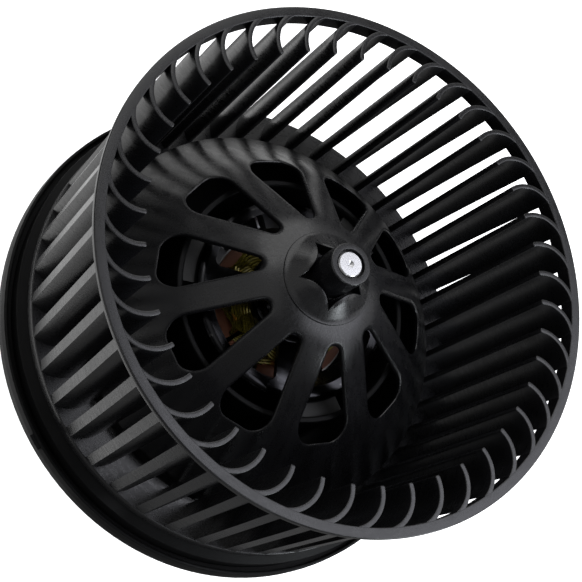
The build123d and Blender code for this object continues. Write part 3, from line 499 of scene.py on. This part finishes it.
finish(
    "brass", (0.5, 0.34, 0.1), (0.8, 0.6, 0.24), (0.22, 0.38), 1500, 0.00001,
    stretch=(0.05, 1, 1), speck=((0.25, 0.13, 0.04), 420, 0.68), metallic=1.0,
)
finish(
    "carbon", (0.012, 0.012, 0.013), (0.035, 0.035, 0.037), (0.35, 0.5), 2600, 0.00003,
    speck=((0.11, 0.1, 0.09), 3800, 0.64),
)
finish(
    "capacitor_coating", (0.04, 0.12, 0.32), (0.08, 0.2, 0.48), (0.15, 0.25), 500, 0.00008,
    coat_weight=0.5, coat_roughness=0.1,
)
finish(
    "tinned_brass", (0.55, 0.53, 0.48), (0.78, 0.76, 0.7), (0.22, 0.36), 1500, 0.00001,
    stretch=(0.05, 1, 1), speck=((0.5, 0.36, 0.12), 600, 0.68), metallic=1.0,
)
finish(
    "red_insulation", (0.25, 0.012, 0.01), (0.42, 0.03, 0.024), (0.25, 0.4), 1600, 0.00002
)
finish(
    "black_insulation", (0.008, 0.008, 0.008), (0.018, 0.018, 0.018), (0.25, 0.4), 1600, 0.00002
)
finish(
    "isolator_rubber", (0.007, 0.007, 0.007), (0.014, 0.014, 0.014), (0.55, 0.75), 2200, 0.00006
)


def finish_nodes():
    """Gives every CAD node the finish of its material slot."""
    for part in frame["record"]["subparts"]:
        materials = NODES[part["node"]].data.materials
        materials.clear()
        materials.append(FINISHES[part["material_slot"]])


# ---- Wheel ----
def dome_profile():
    """Outer face of the dome as (radius, height) points, from the axis outwards."""
    hub_fall = HUB_CORNER * tan(HUB_SLOPE)
    spoke_fall = (DOME_CORNER - HUB_CORNER) * tan(SPOKE_SLOPE)
    return rounded(
        [
            (0, HUB_HEIGHT + hub_fall, 0),
            (HUB_CORNER, HUB_HEIGHT, HUB_ROUNDING),
            (DOME_CORNER, HUB_HEIGHT - spoke_fall, DOME_ROUNDING),
            (FOOT + 1, FOOT_HEIGHT - tan(SKIRT_SLOPE), 0),
        ],
        closed=False,
        turn=radians(1),
    )


DOME_PROFILE = dome_profile()


def dome(radius, depth=0.0):
    """Height of the dome's outer face, or of its inner face when depth is the wall."""
    for a, b in zip(DOME_PROFILE, DOME_PROFILE[1:]):
        if radius <= b.x:
            break
    fall = (a.y - b.y) / (b.x - a.x)
    return a.y - (radius - a.x) * fall - depth * sqrt(1 + fall * fall)


def window_outline():
    """Outline of a window that points along +X, widening outwards."""
    spread = tan(SECTOR_HALF)
    points = []
    for x, radius in ((WINDOW_OUTER, WINDOW_OUTER_ROUNDING), (WINDOW_INNER, WINDOW_INNER_ROUNDING)):
        points.append((x, (x - WINDOW_APEX) * spread, radius))
    mirrored = [(x, -y, r) for x, y, r in reversed(points)]
    return rounded(points + mirrored, turn=radians(3))


def window_edge(direction, outline):
    """Where a ray from the window's middle leaves its outline, and the outward normal there."""
    best = None
    for a, b in zip(outline, outline[1:] + outline[:1]):
        edge = b - a
        denominator = direction.x * edge.y - direction.y * edge.x
        if abs(denominator) < TINY:
            continue
        rel = a - WINDOW_MIDDLE
        distance = (rel.x * edge.y - rel.y * edge.x) / denominator
        share = (rel.x * direction.y - rel.y * direction.x) / denominator
        crossed = distance > 0 and -TINY <= share <= 1 + TINY
        if crossed and (best is None or distance > best[0]):
            best = (distance, edge)
    distance, edge = best
    normal = Vector((edge.y, -edge.x)).normalized()
    if normal.dot(direction) < 0:
        normal.negate()
    return WINDOW_MIDDLE + direction * distance, normal


def sector_border():
    """Border of one sector of the dome, from the middle of its outer arc round to its inner arc."""
    outer_azimuths = [SECTOR_HALF * i / OUTER_STEPS for i in range(OUTER_STEPS + 1)]
    inner_azimuths = [SECTOR_HALF * i / INNER_STEPS for i in reversed(range(INNER_STEPS))]
    depth = SECTOR_INNER - SECTOR_OUTER
    side = [SECTOR_OUTER + depth * i / SIDE_STEPS for i in range(1, SIDE_STEPS + 1)]
    places = [(SECTOR_OUTER, a) for a in outer_azimuths]
    places += [(r, SECTOR_HALF) for r in side]
    places += [(SECTOR_INNER, a) for a in inner_azimuths]
    upper = [Vector((r * cos(a), r * sin(a))) for r, a in places]
    lower = [Vector((p.x, -p.y)) for p in reversed(upper[1:-1])]
    return upper + lower


def dome_sector():
    """One tenth of the dome, with a round-edged window, as a closed band of rows round the window."""
    outline = window_outline()
    border = sector_border()
    hits = [window_edge((p - WINDOW_MIDDLE).normalized(), outline) for p in border]
    rows = []

    def row(offset, depth, drop):
        line = []
        for point, normal in hits:
            p = point + normal * offset
            line.append((p.x, p.y, dome(p.length, depth) + drop))
        rows.append(line)

    def sheet(depth, shares):
        for share in shares:
            line = []
            for (point, normal), edge in zip(hits, border):
                p = (point + normal * RIM).lerp(edge, share)
                line.append((p.x, p.y, dome(p.length, depth)))
            rows.append(line)

    shares = [1, 0.8, 0.6, 0.4, 0.2, 0.06]
    bends = [radians(a) for a in (0, 22.5, 45, 67.5, 90)]
    sheet(0, shares)
    for a in bends:
        row(RIM * (1 - sin(a)), 0, -RIM * (1 - cos(a)))
    for a in reversed(bends):
        row(RIM * (1 - sin(a)), WALL, RIM * (1 - cos(a)))
    sheet(WALL, reversed(shares))
    shape = Shape()
    shape.rows(rows)
    return shape


def sector_azimuths(steps):
    """Azimuths all round, the same number on each half of every sector."""
    arc = [SECTOR_HALF * i / steps for i in range(-steps, steps)]
    return [radians(WINDOW_AZIMUTH) + 2 * SECTOR_HALF * k + a for k in range(WINDOWS) for a in arc]


def hub_shell(shape):
    """Dome with its windows, foot, back plate and lip."""
    sector = dome_sector()
    for i in range(WINDOWS):
        shape.placed(sector, turn_z(radians(WINDOW_AZIMUTH) + 2 * SECTOR_HALF * i))
    inner_foot = FOOT - WALL
    bottom = BACK_TOP - BACK_THICKNESS
    profile = rounded(
        [
            (SECTOR_OUTER, dome(SECTOR_OUTER), 0),
            (FOOT, FOOT_HEIGHT, SHOULDER),
            (FOOT, BACK_TOP, 1.0),
            (BACK_RADIUS, BACK_TOP, 0.35),
            (BACK_RADIUS, WHEEL_BOTTOM, 0.4),
            (BACK_RADIUS - LIP_WIDTH, WHEEL_BOTTOM, 0.4),
            (BACK_RADIUS - LIP_WIDTH, bottom, 0.4),
            (inner_foot, bottom, 0.8),
            (inner_foot, dome(inner_foot, WALL), 1.0),
            (SECTOR_OUTER, dome(SECTOR_OUTER, WALL), 0),
        ],
        closed=False,
    )
    shape.turned(profile, sector_azimuths(OUTER_STEPS), over=False)
    hub_hole = [(SECTOR_INNER, dome(SECTOR_INNER)), (SECTOR_INNER, dome(SECTOR_INNER, WALL))]
    shape.turned(hub_hole, sector_azimuths(INNER_STEPS), over=False)


def collar(shape):
    """Raised cone round the boss, with a bead at its foot and the star pocket cut in it."""
    start = radians(STAR_AZIMUTH)
    azimuths = full_turn(ROUND_STEPS, start)
    step = 2 * pi / STAR_POINTS

    def star(azimuth):
        off = (azimuth - start) % step - step / 2
        return LOBE_CENTRE * cos(off) - sqrt(LOBE**2 - (LOBE_CENTRE * sin(off)) ** 2)

    shoulder = dome(COLLAR) + COLLAR_STEP

    def cone(radius):
        return shoulder + (COLLAR - radius) * tan(COLLAR_SLOPE)

    rows = [[polar(AXIS_RADIUS, a, CROWN - WALL) for a in azimuths]]
    outer = COLLAR - BEAD_HEIGHT
    side = [(outer + BEAD_WIDTH, CROWN - WALL)]
    for bend in (radians(d) for d in range(0, 91, 15)):
        side.append((outer + BEAD_WIDTH * cos(bend), cone(outer) - BEAD_HEIGHT * (1 - sin(bend))))
    for radius, height in side:
        rows.append([polar(radius, a, height) for a in azimuths])
    for share in (0.25, 0.5, 0.75, 1.0):
        line = []
        for a in azimuths:
            radius = outer * (1 - share) + (star(a) + STAR_EDGE) * share
            line.append(polar(radius, a, cone(radius)))
        rows.append(line)
    for bend in (radians(d) for d in (22, 45, 68, 90)):
        rise = STAR_EDGE * (STAR_EDGE_CROWN * sin(bend) - 1 + cos(bend))
        line = []
        for a in azimuths:
            radius = star(a) + STAR_EDGE * (1 - sin(bend))
            line.append(polar(radius, a, cone(star(a) + STAR_EDGE) + rise))
        rows.append(line)
    for inset, rise in ((0, STAR_WALL_TOP), (STAR_FILLET, STAR_FILLET_RISE), (STAR_FLOOR_INSET, 0)):
        rows.append([polar(star(a) - inset, a, CROWN + rise) for a in azimuths])
    rows.append([polar(AXIS_RADIUS, a, CROWN) for a in azimuths])
    shape.rows(rows)


def boss(shape):
    """Sleeve pressed on the shaft, with a counterbore round the shaft's end."""
    bore = SHAFT - BOSS_FIT
    counterbore = SHAFT + COUNTERBORE_GAP
    shape.turned(
        rounded(
            [
                (bore, BOSS_BOTTOM, 0),
                (BOSS, BOSS_BOTTOM, 0.3),
                (BOSS, BOSS_TOP, BOSS_EDGE),
                (counterbore, BOSS_TOP, 0.15),
                (counterbore, BOSS_TOP - COUNTERBORE_DEPTH, 0),
                (bore, BOSS_TOP - COUNTERBORE_DEPTH, 0),
            ]
        ),
        full_turn(BOSS_STEPS),
    )


def shroud_ring(shape):
    """Ring that ties the blade tops together, tapered underneath."""
    shape.turned(
        rounded(
            [
                (RING_INNER, WHEEL_TOP, 0.3),
                (WHEEL_HIGH.x, WHEEL_TOP, 0.45),
                (WHEEL_HIGH.x, WHEEL_TOP - RING_EDGE, 0.4),
                (RING_FOOT, WHEEL_TOP - RING_DEPTH, 0.3),
                (RING_INNER, WHEEL_TOP - RING_DEPTH, 0.3),
            ]
        ),
        full_turn(ROUND_STEPS),
    )


def arc_angle(arc, radius):
    """Angle on a circle about the blade's centre at which it reaches a radius from the shaft."""
    share = (radius**2 - BLADE_CENTRE**2 - arc**2) / (2 * BLADE_CENTRE * arc)
    return acos(max(-1, min(1, share)))


def squared(angle):
    """Point on a square with well rounded corners, at an angle."""

    def pushed(value):
        return abs(value) ** BLADE_NOSE_POWER * (1 if value > 0 else -1)

    return (pushed(cos(angle)), pushed(sin(angle)))


def blade_level(height, inset):
    """Outline of a blade at a height, from its cut outer edge round its inner edge and back."""
    share = max(0, min(1, (height - BACK_TOP) / (WHEEL_TOP - RING_DEPTH - BACK_TOP)))
    reach = BACK_RADIUS - BLADE_SETBACK + (BLADE_TOP_RADIUS - BACK_RADIUS) * share
    half = (BLADE_FOOT_THICKNESS + (BLADE_THICKNESS - BLADE_FOOT_THICKNESS) * share) / 2 - inset
    tip = arc_angle(BLADE_ARC, BLADE_TIP + BLADE_THICKNESS / 2)
    centre = Vector((BLADE_CENTRE, 0))
    across = Vector((cos(tip), sin(tip)))
    along = Vector((-sin(tip), cos(tip)))
    sides = []
    outer = BLADE_ARC + half
    for arc, behind in ((outer, 0), (BLADE_ARC - half, BLADE_CUT)):
        end = arc_angle(outer, reach)
        azimuth = atan2(sin(end) * outer, BLADE_CENTRE + cos(end) * outer) - behind / reach
        radius = BLADE_CENTRE * cos(azimuth) + sqrt(arc**2 - (BLADE_CENTRE * sin(azimuth)) ** 2)
        end = atan2(radius * sin(azimuth), radius * cos(azimuth) - BLADE_CENTRE)
        angles = [end + (tip - end) * i / BLADE_STEPS for i in range(BLADE_STEPS + 1)]
        sides.append([centre + Vector((cos(a), sin(a))) * arc for a in angles])
    middle = centre + across * BLADE_ARC
    round_nose = [squared(pi * k / NOSE_STEPS) for k in range(1, NOSE_STEPS)]
    nose = [middle + (across * c + along * s) * half for c, s in round_nose]
    return [(p.x, p.y, height) for p in sides[0] + nose + sides[1][::-1]]


def blade():
    """One blade, its outer edge following the cage's taper and its top edge rounded."""
    shape = Shape()
    heights = [BACK_TOP - BACK_THICKNESS / 2]
    heights += [BACK_TOP + rise for rise in BLADE_RISES]
    heights.append(WHEEL_TOP - RING_DEPTH)
    rows = [blade_level(height, 0) for height in heights]
    for bend in (radians(d) for d in (0, 30, 60, 90)):
        height = WHEEL_TOP - BLADE_EDGE * (1 - sin(bend))
        rows.append(blade_level(height, BLADE_EDGE * (1 - cos(bend))))
    last = len(rows[0]) - 1
    shape.rows(rows, creases=(0, last))
    # Strips close the two ends, pairing points across the blade.
    for line, flip in ((rows[0], False), (rows[-1], True)):
        first = len(shape.points)
        shape.points.extend(line)
        a, b = 0, last
        while b - a > 2:
            quad = (first + a, first + a + 1, first + b - 1, first + b)
            shape.faces.append(quad if flip else quad[::-1])
            a, b = a + 1, b - 1
        shape.faces.append((first + a, first + a + 1, first + b))
    tip = arc_angle(BLADE_ARC, BLADE_TIP + BLADE_THICKNESS / 2)
    azimuth = atan2(sin(tip) * BLADE_ARC, BLADE_CENTRE + cos(tip) * BLADE_ARC)
    turned = Shape()
    turned.placed(shape, turn_z(-azimuth))
    return turned


def make_wheel():
    """The whole wheel, one moulding."""
    shape = Shape()
    hub_shell(shape)
    collar(shape)
    boss(shape)
    shroud_ring(shape)
    one = blade()
    for i in range(BLADES):
        shape.placed(one, turn_z(radians(BLADE_FIRST) + 2 * pi * i / BLADES))
    shape.piece("wheel_moulding", "wheel_plastic", ["blower_wheel"], "rotor")


# ---- Wound wire ----
def swell(share, middle):
    """Bell curve from 0 to 1 round its middle."""
    return exp(-(((share - middle) / BULGE_SPREAD) ** 2))


def coil_turn(start, share, low, high):
    """Closed turn of a coil: over the top of the core to its far slot, and back underneath."""
    near = SLOT_NEAR + (SLOT_FAR - SLOT_NEAR) * share
    middle = COIL_MIDDLE + 2 * WIRE + COIL_MIDDLE_SPREAD * share
    aside = SLOT_SIDE / near
    span = 2 * pi * COIL_PITCH / SLOTS - 2 * aside
    over, under = [], []
    for i in range(COIL_STEPS + 1):
        t = i / COIL_STEPS
        azimuth = start + aside + span * t
        bulge = COIL_BULGE * share * (swell(t, BULGE_SHARE) + swell(t, 1 - BULGE_SHARE))
        radius = near + (middle - near) * sin(pi * t) ** COIL_ARCH + bulge
        rise = eased(t / COIL_RISE_SHARE) * eased((1 - t) / COIL_FALL_SHARE)
        weave = COIL_WEAVE * t - COIL_DROP
        top, bottom = CORE_HIGH - COIL_SINK, CORE_LOW + COIL_SINK
        over.append(polar(radius, azimuth, top + rise * (high - WIRE + weave - top)))
        under.append(polar(radius, azimuth, bottom + rise * (low + WIRE - weave - bottom)))
    return over + under[::-1]


def make_windings():
    """Twelve coils, each through two slots of the core, woven over each other at both ends."""
    low, high = node_box("armature_windings")
    shape = Shape()
    for coil in range(SLOTS):
        for wire in range(TURNS):
            path = coil_turn(2 * pi * coil / SLOTS, wire / (TURNS - 1), low.z, high.z)
            shape.wire(path, WIRE, closed=True)
    shape.piece("wound_coils", "enamelled_copper", ["armature_windings"], "rotor")


def helix_x(start, end, y, z, radius, turns):
    """Points of a helix along X."""
    count = turns * HELIX_STEPS
    points = []
    for i in range(count + 1):
        a = 2 * pi * i / HELIX_STEPS
        points.append((start + (end - start) * i / count, y + radius * cos(a), z + radius * sin(a)))
    return points


def make_choke_coils():
    """Close wound wire round the two choke cores."""
    low, high = node_box("choke_coils")
    radius = CHOKE_CORE + CHOKE_WIRE
    turns = int((high.x - low.x) / (CHOKE_PITCH * CHOKE_WIRE))
    height = (low.z + high.z) / 2
    shape = Shape()
    for side in (-1, 1):
        y = side * (high.y - (high.z - low.z) / 2)
        path = helix_x(low.x + CHOKE_WIRE, high.x - CHOKE_WIRE, y, height, radius, turns)
        shape.wire(path, CHOKE_WIRE)
    shape.piece("choke_windings", "enamelled_copper", ["choke_coils"], "root")


def make_brush_springs():
    """Coil springs behind the brushes."""
    for word, side in (("right", 1), ("left", -1)):
        low, high = node_box("brush_spring_" + word)
        height = (low.z + high.z) / 2
        radius = (high.z - low.z) / 2 - SPRING_WIRE
        path = helix_x(low.x + SPRING_WIRE, high.x - SPRING_WIRE, 0, height, radius, SPRING_TURNS)
        shape = Shape()
        shape.wire(path, SPRING_WIRE)
        spring = shape.piece("coil_spring_" + word, "spring_steel", ["brush_spring_" + word], "root")
        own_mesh(spring)


def pigtail_route(side, low, high):
    """Corners of a pigtail's way from the top of its brush across to the choke on that side."""
    x = side * (abs(low.x if side < 0 else high.x) - PIGTAIL)
    y = side * (abs(low.y if side < 0 else high.y) - PIGTAIL)
    brush = node_box("brush_right")[1].z + PIGTAIL_LIFT
    crossing = high.z - PIGTAIL
    route = [(x, 0, brush), (x, 0, crossing), (x, y, crossing)]
    if side > 0:
        return route + [(x, y, low.z)]
    return route + [(x, y, low.z + PIGTAIL), (high.x, y, low.z + PIGTAIL)]


def make_pigtails():
    """Stranded copper pigtails, fixed at the chokes, whose other ends sit on top of the brushes."""
    for word, side in (("right", 1), ("left", -1)):
        node = "brush_pigtail_" + word
        route = pigtail_route(side, *node_box(node))
        shape = Shape()
        line = frames(bent(route, PIGTAIL_BEND, PIGTAIL_GAP))
        reach = PIGTAIL - STRAND
        for start in full_turn(STRANDS):
            path = []
            for i, (here, across, other) in enumerate(line):
                angle = start + 2 * pi * i * PIGTAIL_GAP / STRAND_PITCH
                path.append(here + (across * cos(angle) + other * sin(angle)) * reach)
            shape.wire(path, STRAND, sides=5)
        pigtail = shape.piece("stranded_pigtail_" + word, "copper", [node])
        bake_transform(pigtail)


# ---- The pieces ----
finish_nodes()
make_wheel()
make_windings()
make_choke_coils()
make_brush_springs()
make_pigtails()

# ---- Floor, light and camera ----
FLOOR_REACH = 6.0


def make_floor():
    """Pale paper under the part, which the camera alone sees."""
    mesh = bpy.data.meshes.new("floor")
    height = cad_box[0][2]
    signs = ((-1, -1), (1, -1), (1, 1), (-1, 1))
    corners = [(x * FLOOR_REACH, y * FLOOR_REACH, height) for x, y in signs]
    mesh.from_pydata(corners, [], [(0, 1, 2, 3)])
    floor = bpy.data.objects.new("floor", mesh)
    bpy.context.scene.collection.objects.link(floor)
    m = Nodes("floor_paper", base_color=(0.9, 0.9, 0.9, 1), roughness=0.9)
    m.shader.inputs["Emission Color"].default_value = (1, 1, 1, 1)
    m.shader.inputs["Emission Strength"].default_value = 1.0
    floor.data.materials.append(m.material)
    floor.visible_diffuse = False
    floor.visible_glossy = False
    floor.visible_shadow = False


CAMERA_PLACE = Vector((0.0025, 0.2331, 0.4078))
CAMERA_RIGHT = Vector((-0.5275, -0.7140, 0.4604))
CAMERA_DOWN = Vector((-0.8496, 0.4433, -0.2859))
CAMERA_AHEAD = Vector((0.0, -0.5420, -0.8404))
CAMERA_LENS, CAMERA_SENSOR = 85.31, 36


def make_camera():
    """Camera close above the inlet, rolled so that the shaft points up and to the right."""
    data = bpy.data.cameras.new("camera")
    data.lens = CAMERA_LENS
    data.sensor_width = CAMERA_SENSOR
    camera = bpy.data.objects.new("camera", data)
    basis = Matrix((CAMERA_RIGHT, -CAMERA_DOWN, -CAMERA_AHEAD)).transposed().to_4x4()
    camera.matrix_world = Matrix.Translation(CAMERA_PLACE) @ basis
    bpy.context.scene.collection.objects.link(camera)
    bpy.context.scene.camera = camera


WHEEL_MIDDLE = Vector((0, 0, 0.04))


def area_light(name, right, up, ahead, size, power, colour=(1, 1, 1)):
    """Square soft light, aimed at the wheel's middle and placed from it along the camera's axes.

    Right, up, ahead and size are in metres, and power is in watts.
    """
    data = bpy.data.lights.new(name, "AREA")
    data.size = size
    data.energy = power
    data.color = colour
    light = bpy.data.objects.new(name, data)
    offset = CAMERA_RIGHT * right - CAMERA_DOWN * up + CAMERA_AHEAD * ahead
    light.location = WHEEL_MIDDLE + offset
    light.rotation_mode = "QUATERNION"
    light.rotation_quaternion = (-offset).to_track_quat("-Z", "Y")
    bpy.context.scene.collection.objects.link(light)


WORLD_STRENGTH = 0.17
COOL_WHITE = (0.9, 0.96, 1.0)
BLUISH_WHITE = (0.98, 0.99, 1.08)


def make_light():
    """Two large softboxes, low side lights, and the glow of the white sweep round the wheel."""
    area_light("right_softbox", 0.96, 0.08, -0.54, 0.9, 6.4, BLUISH_WHITE)
    area_light("top_softbox", 0.26, 0.98, -0.41, 0.9, 4.5)
    area_light("low_right_light", 0.8, -0.72, -0.22, 0.45, 5.5, COOL_WHITE)
    area_light("low_front_light", 0.07, -0.84, -0.7, 0.35, 0.9, COOL_WHITE)
    area_light("front_fill", -0.1, 0.5, -1.0, 1.0, 1.2)
    area_light("left_front_fill", -0.84, 0.1, -0.7, 0.8, 1.3)
    area_light("left_sweep", -0.79, 0.03, 0.77, 1.15, 4.0)
    area_light("back_sweep", -0.12, 0.88, 0.64, 1.1, 2.8)
    area_light("back_right_sweep", 0.7, 0.82, 0.28, 1.0, 1.2)
    area_light("far_side_light", 1.0, -0.15, 0.36, 0.7, 3.0)
    world = bpy.data.worlds.new("studio")
    world.use_nodes = True
    background = world.node_tree.nodes["Background"]
    background.inputs["Color"].default_value = (1, 1, 1, 1)
    background.inputs["Strength"].default_value = WORLD_STRENGTH
    bpy.context.scene.world = world
    bpy.context.scene.view_settings.view_transform = "Standard"


make_floor()
make_camera()
make_light()
